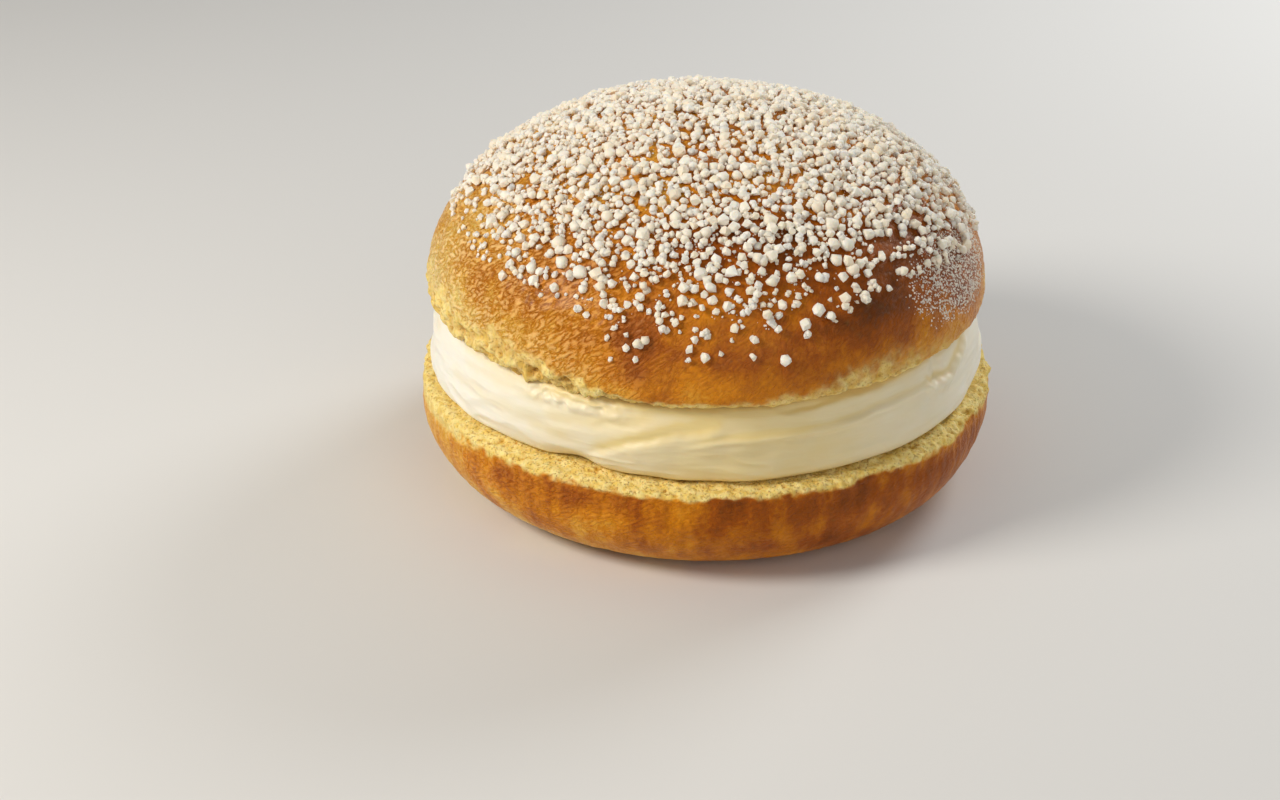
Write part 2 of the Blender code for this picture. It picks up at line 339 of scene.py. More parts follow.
bun = {
    "radius": 52.4 * mm,  # the base at its belly
    "topRadius": 50.3 * mm,
    "lipRise": 2.7 * mm,  # cut face to the dome's widest level
    "lipRadius": 48.2 * mm,
    "crownSugar": 1.5 * mm,  # how far the highest pearl stands above the crown
    "stillRadius": 44.0 * mm,
    "outOfRound": 0.25 * mm,
    "roundWaves": [(2, 1.0, 0.6), (3, 0.6, -1.1)],  # waves round the bun, share and phase
    "lump": 0.40 * mm,
    "lumpLength": 19.0 * mm,
}
# how far cream and lip ride up over the cut, in mm by bearing
lipLift = {-180: 0.0, -60: 0.0, -35: 0.3, -10: 0.0, 12: 0.1, 30: 0.7, 48: 1.2, 66: 1.2, 90: 0.7, 120: 0.0,
           180: 0.0}
widestLevel = cutLevel + bun["lipRise"]
crownLevel = topHigh.z - bun["crownSugar"]
domeHeight = crownLevel - widestLevel


def outOfRound(bearing):
    angle = np.radians(bearing)
    return bun["outOfRound"] * sum(share * np.cos(waves * angle + phase)
                                   for waves, share, phase in bun["roundWaves"])


# Brioche: crust outside, torn crumb where the bun was cut

crustLook = {
    "stops": [
        (0.0, srgb(246, 214, 122)),
        (0.22, srgb(236, 174, 56)),
        (0.46, srgb(212, 129, 4)),
        (0.72, srgb(162, 80, 0)),
        (1.0, srgb(104, 47, 0)),
    ],
    "crumb": srgb(236, 203, 110),
    "crumbLit": srgb(248, 226, 152),
    # painted shade, golden brown, in the crumb's pores, creases and hollows
    "crumbPoreShade": srgb(200, 142, 38),
    # painted shade in the crumb's pinholes
    "pinholeShade": srgb(164, 108, 30),
    "ridgeHighlight": srgb(252, 212, 150),  # painted highlight: the pale glints on the raised ridges of a dry, crinkled crust
    # lengths of the patterns
    "mottle": 4.0 * mm,
    "speck": 0.9 * mm,
    "grit": 0.45 * mm,
    "streak": 1.6 * mm,
    "crinkle": 0.90 * mm,
    "crumbGrain": 1.4 * mm,
    # how far each pattern shifts the tone, where 1 is the whole run from pale to brown
    "mottleTone": 0.40,
    "speckTone": 0.22,
    # painted shade, deeper brown in the creases of the crinkles
    "crinkleShade": 0.26,
    "ridgeHighlightShare": 0.85,
    "edgeWander": 0.5,  # how far mottle and speck push the edge between crumb and crust
    "relief": 0.30 * mm,
    "crinkleRelief": (0.2, 1.6),  # on smooth and on flaky crust
    "crustRoughness": 0.44,
    "crumbRoughness": 0.85,
    "specular": 0.34,
    "specularTint": (1.0, 0.76, 0.48),
    "glow": {"glow": 0.20, "glowReach": (1.0, 0.6, 0.25), "glowScale": 0.9 * mm},
}


def briocheFinish(name, gloss, streaky, pinholeShadeShare):
    look = crustLook
    paint = Finish(name)
    # how brown the crust is: its baking, and on the top also painted light and shade, paler on the lit left
    # and under the sugar, deeper on the shaded front and right
    bake = paint.mask("bake")  # 0 pale to 1 deep brown
    crumb = paint.mask("crumb")  # 1 where the crumb shows
    pore = paint.mask("pore")
    flaky = paint.mask("flaky")  # 1 where the crust is dry and finely crinkled
    grain = paint.track("grain")
    mottle = paint.noise(look["mottle"], 4.0)
    speck = paint.noise(look["speck"], 3.0, 0.6)
    grit = paint.noise(look["grit"], 2.0, 0.6)
    crinkle = paint.ridges(look["crinkle"], paint.stretched(grain, (0.65, 0.65, 1.0)))
    crinkle = crinkle * 0.85 + (grit - 0.5) * 0.5 + 0.04
    streak = paint.noise(look["streak"], 3.0, 0.6, paint.stretched(grain, (1.0, 1.0, 0.22)))
    # crust: baked tone with painted shade in the creases of the crinkles, then a painted highlight on the
    # ridges between the creases
    tone = bake + (mottle - 0.5) * look["mottleTone"] + (speck - 0.5) * look["speckTone"]
    tone = tone + (streak - 0.5) * streaky + (crinkle - 0.4) * flaky * look["crinkleShade"]
    crust = paint.ramp(tone, look["stops"])
    patch = paint.step(mottle, 0.32, 0.62) * 0.6 + 0.4
    ridgeHighlight = (1.0 - paint.step(crinkle, 0.08, 0.62)) * flaky * flaky * patch
    crust = paint.blend(ridgeHighlight * (1.0 - bake) * look["ridgeHighlightShare"], crust, look["ridgeHighlight"])
    # crumb: pale, with a painted highlight on its raised grain, and painted shade, golden brown, in its
    # pores, creases and hollows and in its pinholes
    fine = paint.noise(look["crumbGrain"])
    pinholes = 1.0 - paint.step(grit, 0.33, 0.43)
    bread = paint.blend(paint.step(fine, 0.34, 0.66), look["crumb"], look["crumbLit"])
    bread = paint.blend(pore * 0.85, bread, look["crumbPoreShade"])
    bread = paint.blend(pinholes * pinholeShadeShare, bread, look["pinholeShade"])
    wander = (speck - 0.5) * look["edgeWander"] + (mottle - 0.5) * look["edgeWander"]
    edge = paint.step(crumb + wander, 0.05, 0.95)
    paint.set(colour=paint.blend(edge, crust, bread))
    crustRoughness = look["crustRoughness"] - 0.08 * gloss
    paint.set(roughness=mixedWire(edge, crustRoughness, look["crumbRoughness"]) + (speck - 0.5) * 0.25)
    crustRelief = speck * 0.5 + streak * streaky - crinkle * mixedWire(flaky, *look["crinkleRelief"])
    crumbRelief = fine * 0.8 + speck * 0.6 - pinholes * 0.5
    paint.set(normal=paint.bump(mixedWire(edge, crustRelief, crumbRelief), look["relief"]))
    paint.set(**look["glow"])
    paint.set(specular=look["specular"] * gloss, specularTint=look["specularTint"])
    paint.set(coat=(flaky * 0.08 + 0.06) * gloss, coatRoughness=0.26)
    return paint.material


def mixedWire(share, low, high):
    return share * (high - low) + low


def grainTrack(points, along, slant=0.0):
    # how streaks run: round the bun in x and y, along the outline in z, climbing by the slant
    angle = np.radians(bearingOf(points))
    around = np.stack([np.sin(angle), -np.cos(angle), slant * np.sin(angle)], -1) * bun["topRadius"]
    around[:, 2] += along
    return around


base = {
    "sides": 1080,
    "footRadius": 38.5 * mm,
    "bellyLevel": 13.5 * mm,
    "flatRadius": 46.5 * mm,  # the level part of the cut face
    "rimInset": 0.2 * mm,
    "rimDrop": 0.4 * mm,
    "rimRound": 1.1 * mm,
    "rimSteps": 8,
    "bellySteps": 32,
    "underCream": 45.0 * mm,  # nothing finer than rings inside this
    "spacing": {"hidden": 9 * mm, "crumb": 0.28 * mm, "crust": 0.5 * mm, "foot": 6 * mm},
    "lumpSeed": 3,
    # crumb: its edge in mm under the cut face, how rough it is in mm by bearing, and its pores
    "crumbWhole": 0.45,
    "crumbEnds": 1.5,
    "softEnds": 3.0,
    "bareRadius": (45.8 * mm, 47.0 * mm),  # from under the cream to where the crumb lies bare
    "crumbRough": {-180: 0.45, -60: 0.26, 0: 0.28, 30: 0.36, 55: 0.52, 90: 0.55, 180: 0.45},
    "crumbLumps": {"length": 2.6 * mm, "seed": 33, "share": 0.8, "sunk": 0.4},
    "pores": {"length": 1.1 * mm, "seed": 31, "depth": 0.40 * mm, "patches": (-0.1, 0.5)},
    "rimTorn": 0.45 * mm,
    "tornHeight": (3.5 * mm, 1.0 * mm),  # under the cut face
    "tornRadius": (50 * mm, 52 * mm),
    # crust
    "crustRough": 0.22 * mm,
    "wrinkles": {"length": 2.4 * mm, "seed": 26, "share": 0.5},
    "slant": 0.4,
    "belt": (9.0 * mm, 16.5 * mm),  # over this height the brown of the side turns to the rim's
    "footHeight": (1.0 * mm, 8.0 * mm),
    "softHeight": (5 * mm, 2 * mm),  # under the cut face
    "footPaler": 0.16,
    "crumbPaler": 0.4,
    "softPaler": 0.30,
    # how brown the crust is under the rim, and lower down, by bearing
    "rimBake": {-180: 0.6, -90: 0.24, -66: 0.30, -54: 0.44, -42: 0.62, -20: 0.64, 5: 0.72, 40: 0.82,
                80: 0.66, 130: 0.5, 180: 0.6},
    "sideBake": {-180: 0.5, -90: 0.26, -60: 0.32, -20: 0.46, 15: 0.62, 50: 0.64, 90: 0.5, 180: 0.5},
    "flaky": {-180: 0.45, -90: 0.55, -45: 0.42, -15: 0.30, 10: 0.2, 50: 0.18, 90: 0.3, 180: 0.45},
    # how gently the crumb fades into the crust, by bearing
    "soft": {-180: 0.4, -90: 1.0, -60: 0.9, -42: 0.4, 0: 0.15, 45: 0.3, 70: 0.7, 90: 0.8, 180: 0.4},
    "clouds": {
        "edge": [(1.0, 4.2, 21), (0.7, 1.5, 22)],
        "crumb": [(0.8, 2.4, 23), (0.6, 1.0, 24), (0.35, 0.5, 25)],
        "pores": [(1.0, 2.4, 32)],
        "wrinkles": [(0.4, 1.0, 27)],
        "torn": [(1.0, 3.6, 34), (0.7, 1.4, 35)],
        "bake": [(0.15, 8, 28)],
        "bakeUpright": [(0.16, 3, 29)],
    },
}


def baseOutline():
    height = baseHigh.z
    rimRadius = bun["radius"] - base["rimInset"]
    rimLevel = height - base["rimDrop"]
    rimRound = base["rimRound"]
    spacing = base["spacing"]
    corners = [(0, height), (base["underCream"], height), (base["flatRadius"], height),
               (rimRadius - rimRound, rimLevel)]
    spacings = [spacing["hidden"], spacing["crust"], spacing["crumb"]]
    for k in range(1, base["rimSteps"] + 1):
        angle = k / base["rimSteps"] * math.pi / 2
        corners.append((rimRadius - rimRound * (1 - math.sin(angle)),
                        rimLevel - rimRound * (1 - math.cos(angle))))
        spacings.append(spacing["crumb"])
    for k in range(base["bellySteps"] + 1):
        angle = (1 - k / base["bellySteps"]) * math.pi / 2
        corners.append((mixed(base["footRadius"], bun["radius"], math.sin(angle)),
                        base["bellyLevel"] * (1 - math.cos(angle))))
        spacings.append(spacing["crust"])
    corners.append((0, 0))
    spacings.append(spacing["foot"])
    return evenOutline(corners, spacings)


def belowCut(height, span):
    # 0 at the first depth under the base's cut face, 1 from the second one up
    return eased(height, baseHigh.z - span[0], baseHigh.z - span[1])


def makeBase():
    points, facing, along = turnedPoints(baseOutline(), base["sides"])
    clouds = base["clouds"]
    bearing = bearingOf(points)
    radius = np.linalg.norm(points[:, :2], axis=1)
    height = points[:, 2]
    soft = byBearing(base["soft"], bearing)
    side = eased(radius, base["footRadius"], bun["radius"])
    swell = outOfRound(bearing) + bun["lump"] * cloud(points, bun["lumpLength"], base["lumpSeed"])
    # the crumb's ragged edge wanders over the rim
    onTop = belowCut(height, ((base["crumbEnds"] + base["softEnds"] * soft) * mm, base["crumbWhole"] * mm))
    wander = layered(points, clouds["edge"])
    crumb = np.clip(onTop + wander * 4.0 * onTop * (1.0 - onTop), 0.0, 1.0)
    bare = crumb * eased(radius, *base["bareRadius"])
    hole, bump = base["pores"], base["crumbLumps"]
    pores = holesIn(points, hole) * eased(layered(points, clouds["pores"]), *hole["patches"])
    rough = layered(points, clouds["crumb"]) + bump["share"] * (lumpy(points, bump) - bump["sunk"])
    lift = bare * (byBearing(base["crumbRough"], bearing) * mm * rough - hole["depth"] * pores)
    # the crust's fine upright wrinkles
    upright = points * (1.0, 1.0, 0.5)
    crease = base["wrinkles"]
    wrinkled = crackled(upright, crease) * crease["share"] + layered(upright, clouds["wrinkles"])
    lift += (1.0 - crumb) * side * base["crustRough"] * wrinkled
    rim = belowCut(height, base["tornHeight"]) * eased(radius, *base["tornRadius"])
    torn = rim * base["rimTorn"] * layered(points, clouds["torn"])
    points = pushedOut(points, side * swell + torn) + facing * lift[:, None]
    bake = mixed(byBearing(base["sideBake"], bearing), byBearing(base["rimBake"], bearing),
                 eased(height, *base["belt"]))
    bake += layered(points, clouds["bake"]) + layered(points * (1.0, 1.0, 0.3), clouds["bakeUpright"])
    bake -= base["footPaler"] * (1.0 - eased(height, *base["footHeight"])) + base["crumbPaler"] * crumb
    bake -= base["softPaler"] * soft * belowCut(height, base["softHeight"])
    masks = {"crumb": crumb, "pore": pores * bare, "bake": np.clip(bake, 0, 1),
             "flaky": byBearing(base["flaky"], bearing), "grain": grainTrack(points, along, base["slant"])}
    mesh = lathedMesh("brioche_base_crust", points, base["sides"], (baseHigh.z, 0.0), masks)
    finishPiece("brioche_base_crust", mesh, briocheFinish("base brioche", 0.7, 0.24, 0.40),
                ["brioche_base"])


# Whipped custard cream, smeared round by a spatula

cream = {
    "sides": 810,
    "radius": 49.8 * mm,
    "footRadius": {-180: 48.4, -83: 49.3, -50: 47.9, -28: 47.2, 0: 47.8, 50: 48.5, 80: 48.9,
                   130: 48.2, 180: 48.4},  # mm, by bearing
    "shoulderRadius": 46.6 * mm,
    "bellyShare": 0.40,
    "fullness": 2.3,
    "outlineSteps": 48,
    "spacing": {"hidden": 9 * mm, "under": 0.6 * mm, "side": 0.19 * mm},
    "lump": 0.40 * mm,
    "lumpLength": 12.0 * mm,
    "lumpSeed": 5,
    # fine lines left by the blade, which wander up and down round the bun
    "combing": {"depth": 0.05 * mm, "clouds": [(1.0, 0.9, 41), (2.4, 2.4, 42)], "stretch": (0.12, 0.12, 1.0),
                "wander": 1.2 * mm, "waves": 3},
    # short soft ridges along the strokes, lower where the cream is smooth
    "dabs": {"depth": 0.27 * mm, "length": 2.2 * mm, "seed": 43, "stretch": (0.30, 0.30, 1.0),
             "tilt": 2.5 * mm, "patches": [(1.0, 9, 45)], "patchEdge": (-0.5, 0.3),
             "smooth": (5, 30, 75, 100), "smoother": 0.6},
    # each stroke of the spatula leaves a crease, its height a share of the cream's, by bearing
    "strokes": [
        {"line": {-24: 0.16, -21: 0.27, -16: 0.42, -8.5: 0.60, -1: 0.70, 5: 0.75},
         "lift": 0.65, "reach": 0.60, "lip": 0.0, "edge": 0.055},
        {"line": {-6: 0.50, -1: 0.57, 3: 0.63, 10: 0.65, 18: 0.63, 26: 0.64, 32: 0.66, 39: 0.70,
                  50: 0.66, 57: 0.60}, "lift": 0.25, "reach": 0.40, "lip": 0.26, "edge": 0.022},
        {"line": {14: 0.86, 22: 0.90, 26: 0.93, 32: 0.92, 40: 0.94, 50: 0.97, 60: 1.0},
         "lift": 0.7, "reach": 0.20, "lip": 0.10, "edge": 0.020},
        {"line": {48: 0.72, 53: 0.64, 57: 0.62, 63: 0.74, 70: 0.92},
         "lift": 0.8, "reach": 0.22, "lip": 0.25, "edge": 0.03},
        {"line": {-66: 0.34, -52: 0.40, -40: 0.38, -30: 0.30, -22: 0.24},
         "lift": 0.35, "reach": 0.30, "lip": 0.0, "edge": 0.08},
        {"line": {-34: 0.52, -22: 0.60, -8: 0.78}, "lift": 0.30, "reach": 0.24, "lip": 0.0, "edge": 0.06},
        {"line": {-60: 0.66, -44: 0.72, -30: 0.70}, "lift": 0.25, "reach": 0.22, "lip": 0.0, "edge": 0.06},
        {"line": {-38: 0.80, -30: 0.86, -22: 0.84, -14: 0.80},
         "lift": 0.3, "reach": 0.14, "lip": 0.06, "edge": 0.03},
        {"line": {78: 0.28, 112: 0.52, 152: 0.70}, "lift": 0.8, "reach": 0.42, "lip": 0.08, "edge": 0.04},
        {"line": {132: 0.86, 170: 0.62, 206: 0.44}, "lift": 0.7, "reach": 0.34, "lip": 0.08, "edge": 0.04},
        {"line": {190: 0.36, 225: 0.60, 258: 0.74}, "lift": 0.7, "reach": 0.45, "lip": 0.08, "edge": 0.04},
        {"line": {246: 0.86, 268: 0.76, 290: 0.66}, "lift": 0.4, "reach": 0.30, "lip": 0.05, "edge": 0.05},
    ],
    "strokeEnds": 0.16,
    "strokeWaver": [(0.008, 23.0, 0.0), (0.005, 57.0, 2.0)],  # share of the height, waves and phase
    # the lip that a stroke pushes up and the groove over it, counted in edges below its line
    "strokeLip": {"at": 1.6, "width": 1.5},
    "strokeGroove": {"at": -1.6, "width": 1.4, "depth": 0.12},
    "notch": {"bearing": -27.0, "halfWidth": 8.0, "depth": 1.8 * mm, "top": 0.30},
    # short upright folds: bearing below and above, half width in degrees, depth in mm, and the shares
    # of the cream's height where each starts and ends
    "folds": [(51.0, 55.0, 1.8, 0.8, 0.58, 1.0), (-31.0, -33.0, 1.3, 0.4, 0.72, 0.92),
              (-26.0, -28.0, 1.0, 0.4, 0.76, 0.95), (-18.0, -20.0, 1.2, 0.3, 0.70, 0.92)],
    "foldWaver": 0.6,  # degrees
    "foldWaves": 21.0,
    # a torn, ruffled stretch: bearings and heights between which it comes and goes
    "ruffle": {"comes": (-40, -35), "goes": (-17, -12), "low": (0.72, 0.86), "high": (0.94, 1.0),
               "depth": 0.42 * mm, "length": 2.0 * mm, "seed": 44},
    # yellower towards the front, whiter on the left: partly the cream's own tint, partly painted light and
    # shade, the left lying in light and the front in shade
    "tintAndShade": {-180: 0.4, -90: 0.0, -50: 0.05, -20: 0.50, 10: 0.85, 40: 0.5, 80: 0.1, 180: 0.4},
    # painted shade, yellower and darker, in creases, under the top and on the base, by share of the height
    "paintedShade": {"crease": 0.5, "underTop": 0.5, "topFrom": 0.84, "onBase": 0.4, "baseTo": 0.07},
    # the cream's colour, and the yellower colour that its tint and its painted shade lean towards
    "colour": srgb(246, 241, 226),
    "shade": srgb(235, 212, 146),
    # lengths of the patterns, and how far they shift the tone
    "drawn": 1.0 * mm,
    "drawnOut": (0.10, 0.10, 1.0),
    "soft": 7 * mm,
    "tiny": 0.35 * mm,
    "softTone": 0.35,
    "drawnTone": 0.15,
    "relief": 0.10 * mm,
    "glow": {"glow": 0.30, "glowReach": (1.0, 0.75, 0.45), "glowScale": 1.0 * mm},
}


def creamRadius(share):
    belly = cream["bellyShare"]
    if share < belly:
        away, inner = 1 - share / belly, cream["footRadius"][0] * mm
    else:
        away, inner = (share - belly) / (1 - belly), cream["shoulderRadius"]
    return mixed(inner, cream["radius"], (1 - away ** cream["fullness"]) ** (1 / cream["fullness"]))


def creamOutline():
    spacing, steps = cream["spacing"], cream["outlineSteps"]
    top = creamHigh.z + fitGap
    corners = [(0, top), (bun["stillRadius"], top)]
    spacings = [spacing["hidden"], spacing["under"]]
    for k in range(steps + 1):
        share = 0.5 + 0.5 * math.cos(math.pi * k / steps)
        corners.append((creamRadius(share), mixed(creamLow.z, top, share)))
        spacings.append(spacing["side"])
    corners += [(bun["stillRadius"], creamLow.z), (0, creamLow.z)]
    spacings += [spacing["under"], spacing["hidden"]]
    return evenOutline(corners, spacings)


def swelling(value, shape):
    # 1 at its middle, falling away softly to both sides
    return np.exp(-((value - shape["at"]) / shape["width"]) ** 2)


def strokeRelief(bearing, height):
    # how far the strokes stand out, and how deep in a crease each point lies
    total, crease = np.zeros_like(bearing), np.zeros_like(bearing)
    for stroke in cream["strokes"]:
        first, last = min(stroke["line"]), max(stroke["line"])
        around = first + aroundFrom(first, bearing)
        along = (around - first) / (last - first)
        line = byBearing(stroke["line"], np.minimum(around, last))
        line = line + sum(share * np.sin(along * waves + phase)
                          for share, waves, phase in cream["strokeWaver"])
        below = (line - height) / stroke["edge"]
        ends = eased(np.minimum(along, 1 - along), 0, cream["strokeEnds"]) * (along <= 1)
        step = eased(below, -1, 1)
        fall = 1 - eased(line - height, 0, stroke["reach"])
        lip = stroke["lip"] * swelling(below, cream["strokeLip"])
        groove = swelling(below, cream["strokeGroove"])
        depth = cream["strokeGroove"]["depth"]
        total += ends * mm * (stroke["lift"] * (step * fall - depth * groove) + lip)
        crease = np.maximum(crease, ends * groove * min(1.0, stroke["lift"] + 0.2))
    return total, crease


def creamNotch(bearing, height):
    notch = cream["notch"]
    away = np.abs(aroundFrom(notch["bearing"] - 180, bearing) - 180)
    hollow = 1 - eased(away, 0, notch["halfWidth"])
    return notch["depth"] * hollow * (1 - eased(height, 0, notch["top"]))


def creamFolds(bearing, height):
    total = np.zeros_like(bearing)
    for below, above, halfWidth, depth, start, end in cream["folds"]:
        middle = mixed(below, above, height)
        middle += cream["foldWaver"] * np.sin(height * cream["foldWaves"])
        groove = swelling(bearing, {"at": middle, "width": halfWidth})
        within = eased(height, start - 0.06, start + 0.06) * (1 - eased(height, end - 0.04, end + 0.04))
        total += depth * mm * groove * within
    return total


def creamFinish():
    paint = Finish("whipped custard cream")
    shade = paint.mask("shade")
    grain = paint.track("grain")
    drawn = paint.noise(cream["drawn"], 3.0, where=paint.stretched(grain, cream["drawnOut"]))
    soft = paint.noise(cream["soft"], 2.0)
    tone = shade + (soft - 0.5) * cream["softTone"] + (drawn - 0.5) * cream["drawnTone"]
    paint.set(colour=paint.blend(tone, cream["colour"], cream["shade"]))
    paint.set(roughness=0.34 + drawn * 0.16)
    tiny = paint.noise(cream["tiny"], 3.0)
    paint.set(normal=paint.bump(drawn + tiny * 0.10, cream["relief"]))
    paint.set(**cream["glow"], specular=0.5)
    return paint.material


def makeCream():
    points, facing, along = turnedPoints(creamOutline(), cream["sides"])
    bearing = bearingOf(points)
    radius = np.linalg.norm(points[:, :2], axis=1)
    height = (points[:, 2] - creamLow.z) / (creamHigh.z + fitGap - creamLow.z)
    side = eased(radius, bun["stillRadius"], cream["shoulderRadius"])
    swell = outOfRound(bearing) + cream["lump"] * cloud(points, cream["lumpLength"], cream["lumpSeed"])
    foot = (byBearing(cream["footRadius"], bearing) - cream["footRadius"][0]) * mm
    swell += foot * (1 - eased(height, 0, cream["bellyShare"]))
    relief, crease = strokeRelief(bearing, height)
    swell += np.sin(math.pi * height) ** 0.5 * relief - creamNotch(bearing, height)
    swell -= creamFolds(bearing, height)
    comb = cream["combing"]
    drawn = points * comb["stretch"]
    drawn[:, 2] += comb["wander"] * np.sin(np.radians(bearing) * comb["waves"])
    swell += comb["depth"] * layered(drawn, comb["clouds"])
    dabs = cream["dabs"]
    comes, full, until, goes = dabs["smooth"]
    rough = 1 - dabs["smoother"] * eased(bearing, comes, full) * (1 - eased(bearing, until, goes))
    tilted = points * dabs["stretch"]
    tilted[:, 2] += dabs["tilt"] * np.abs(np.radians(bearing))
    patches = eased(layered(points, dabs["patches"]), *dabs["patchEdge"])
    swell += dabs["depth"] * rough * crackled(tilted, dabs) * patches
    ruffle = cream["ruffle"]
    ruffled = eased(bearing, *ruffle["comes"]) * (1 - eased(bearing, *ruffle["goes"]))
    ruffled *= eased(height, *ruffle["low"]) * (1 - eased(height, *ruffle["high"]))
    swell += ruffle["depth"] * ruffled * crackled(points, ruffle)
    points = pushedOut(points, side * swell)
    points[:, 2] += byBearing(lipLift, bearing) * mm * side * eased(height, 0.2, 1.0)
    # painted shade: the cream yellower and darker in the strokes' creases, under the top and where it meets
    # the base, over its tint by bearing
    paintedShade = cream["paintedShade"]
    shade = byBearing(cream["tintAndShade"], bearing) + paintedShade["crease"] * crease
    underTop = paintedShade["underTop"] * eased(height, paintedShade["topFrom"], 1.0)
    shade += underTop + paintedShade["onBase"] * (1 - eased(height, 0, paintedShade["baseTo"]))
    masks = {"grain": grainTrack(points, along), "shade": np.clip(shade, 0, 1)}
    ends = (creamHigh.z + fitGap, creamLow.z)
    mesh = lathedMesh("cream_layer", points, cream["sides"], ends, masks)
    finishPiece("cream_layer", mesh, creamFinish(), ["cream_filling"])


# Domed top

top = {
    "sides": 1080,
    "domeSteps": 60,
    "lipSteps": 12,
    "fineClimb": 32,  # degrees up to which the rings lie close
    "spacing": {"fine": 0.42 * mm, "crown": 0.80 * mm, "lip": 0.3 * mm, "under": 0.4 * mm, "hidden": 9 * mm},
    "underRadius": 45.0 * mm,
    "lumpSeed": 6,
    # height of bare crumb in mm, how softly it fades and how holed it is, by bearing
    "crumbBand": {-180: 2.4, -120: 3.4, -90: 5.6, -68: 6.2, -46: 6.2, -33: 5.0, -23: 3.2, -14: 1.6,
                  -1: 1.6, 11: 2.0, 19: 2.8, 28: 4.0, 38: 4.4, 50: 3.6, 62: 2.2, 100: 2.2, 140: 3.0,
                  180: 2.4},
    # how much of the bare crumb shows, by bearing; less on the right, where the crust's colour mixes in,
    # partly as painted shade on that side
    "crumbShare": {-180: 1.0, -20: 1.0, 0: 0.85, 20: 0.80, 50: 0.75, 70: 0.7, 100: 1.0, 180: 1.0},
    "crumbFade": {-180: 0.8, -90: 1.0, -46: 0.8, -23: 0.6, -14: 0.7, 11: 1.2, 28: 1.6, 50: 1.6,
                  100: 0.8, 180: 0.8},
    "poreShare": {-180: 0.7, -80: 0.8, -60: 1.0, -33: 1.0, -20: 0.9, -10: 0.6, 0: 0.4, 20: 0.5, 50: 0.5,
                  90: 0.6, 180: 0.7},
    "flaky": {-180: 0.6, -90: 1.0, -45: 1.0, -25: 0.75, -8: 0.35, 15: 0.2, 50: 0.4, 90: 0.7, 180: 0.6},
    # how brown the crust is by bearing: partly its baking, partly painted light and shade, paler on the lit
    # left and deeper on the shaded front and right
    "bake": {-180: 0.55, -100: 0.34, -70: 0.34, -45: 0.44, -25: 0.54, 0: 0.70, 20: 0.80, 45: 0.78,
             75: 0.64, 110: 0.5, 180: 0.55},
    "bareRadius": (46.0 * mm, 47.6 * mm),  # from over the cream to where the crumb lies bare
    "crumbRough": 0.30 * mm,
    "pores": {"length": 2.3 * mm, "seed": 53, "depth": 0.55 * mm, "upright": (1.0, 1.0, 1.4),
              "patches": (-0.45, 0.15), "level": (0.6, 1.2)},  # the shares of the band where they end
    "lumps": {"length": 3.2 * mm, "seed": 66, "height": 0.9 * mm, "upright": (1.0, 1.0, 1.3)},
    # painted shade, golden brown, on the crumb: in the creases between its lumps, along the lip's lower edge
    # and in the torn hollows
    "crumbShade": {"creases": 0.5, "creaseWall": (-0.5, -0.05), "lip": 0.2, "lipHeight": 1.4 * mm,
             "hollows": 0.5},
    "slant": 0.6,
    "goldEdge": 9.0 * mm,  # how far up the crust stays paler above the crumb
    "goldPaler": 0.27,
    # the crust under the thick of the sugar is alike all round, and kept paler: painted light against the
    # stones' shadows
    "crown": {"from": 0.60, "full": 0.93, "bake": 0.42, "flaky": 0.4},
    "crustStep": 0.12 * mm,  # how far the crust stands over the torn crumb
    "crustRough": 0.14 * mm,
    "wrinkles": {"length": 1.9 * mm, "seed": 58, "share": 0.35},
    "crinkles": {"length": 1.5 * mm, "seed": 67, "share": 1.3, "stretch": (0.8, 0.8, 1.0)},
    "tear": 1.0 * mm,
    "lipFlare": 0.4,  # how far a torn edge also leans out
    "scallops": {"length": 3.6 * mm, "seed": 68, "share": 1.3},
    "tornRadius": (46.9 * mm, 48.2 * mm),
    "tearShare": {-180: 0.7, -90: 0.8, -58: 1.2, -30: 1.3, -14: 0.8, 0: 0.3, 45: 0.25, 90: 0.6, 180: 0.7},
    # hollows torn in the crumb: bearing, height over the cut, breadth and depth in mm
    "hollows": [
        (-48.0, 2.0, 3.0, 1.0), (-40.5, 1.0, 2.2, 0.9), (-34.5, 2.2, 3.2, 1.5), (-27.5, 2.3, 2.6, 1.2),
        (-26.0, 0.9, 2.4, 1.1), (-18.5, 0.8, 1.8, 0.7), (-15.0, 0.7, 1.6, 0.6), (-57.0, 3.2, 2.8, 1.0),
        (-70.0, 2.0, 3.4, 1.0),
    ],
    "hollowFlatness": 1.3,
    "hollowWall": (0.45, 1.15),  # from its floor to its edge, in half breadths
    # notches torn in the lower edge: bearing, half width in degrees, depth in mm
    "notches": [(-52, 1.6, 0.5), (-39, 1.4, 1.1), (-32, 1.2, 0.9), (-29, 0.8, 0.6), (-20, 1.0, 0.5)],
    "clouds": {
        "dome": [(0.14, 5, 7)],
        "crumbEdge": [(0.35, 4.5, 51), (0.35, 1.7, 52), (0.15, 0.8, 62)],
        "pores": [(1.0, 3.0, 54)],
        "crumb": [(1.0, 2.4, 55), (0.6, 1.0, 56), (0.35, 0.5, 57)],
        "hollowEdge": [(0.22, 1.3, 70)],
        "wrinkles": [(0.3, 0.9, 59)],
        "torn": [(0.8, 4.5, 60), (0.8, 1.9, 63), (0.4, 0.8, 65)],
        "scallops": [(1.0, 8, 69)],
        "bake": [(0.20, 14, 61), (0.12, 5, 64)],
    },
}


